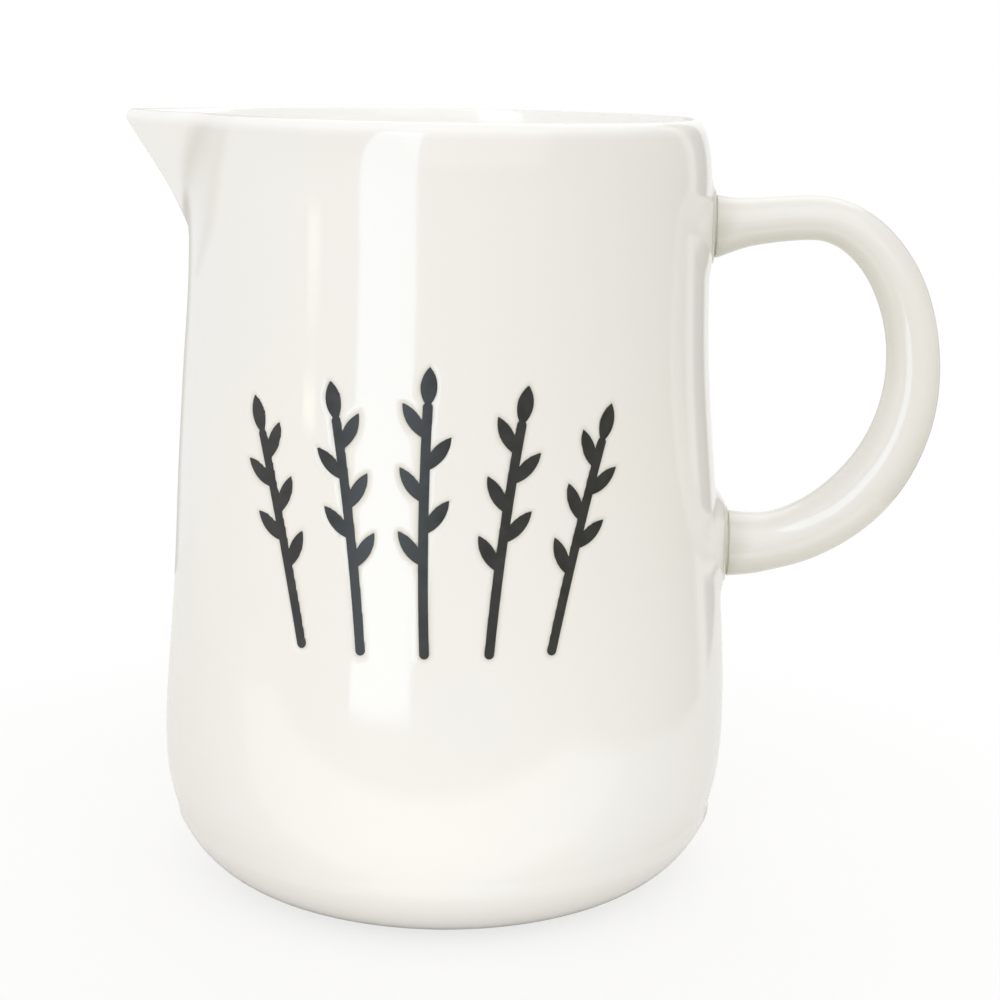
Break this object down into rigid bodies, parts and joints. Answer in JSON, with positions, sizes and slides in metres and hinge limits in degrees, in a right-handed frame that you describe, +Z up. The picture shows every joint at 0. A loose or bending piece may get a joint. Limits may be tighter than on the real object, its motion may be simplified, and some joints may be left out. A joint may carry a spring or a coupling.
{
  "type": "syrup pitcher",
  "caption": "Open glazed ceramic pitcher for pouring syrup, with a pinched V spout, a D-shaped round-bar handle and a pressed black leaf motif on the front.",
  "frame": {"origin": "centre of the foot ring on the standing plane", "axes": "+Z up, the spout points along -X, the handle stands out along +X, the decorated front faces -Y"},
  "size_m": [0.1489, 0.1056, 0.14],
  "materials": {
    "cream_glaze": "gloss",
    "bare_clay": "matte",
    "black_glaze": "gloss"
  },
  "bodies": {
    "root": {"body_wall": "cream_glaze", "base_slab": "cream_glaze", "spout": "cream_glaze", "handle_bow": "cream_glaze", "handle_upper_collar": "cream_glaze", "handle_lower_collar": "cream_glaze", "foot_ring": "bare_clay", "sprig_inlay_1": "black_glaze", "sprig_inlay_2": "black_glaze", "sprig_inlay_3": "black_glaze", "sprig_inlay_4": "black_glaze", "sprig_inlay_5": "black_glaze"}
  },
  "joints": []
}
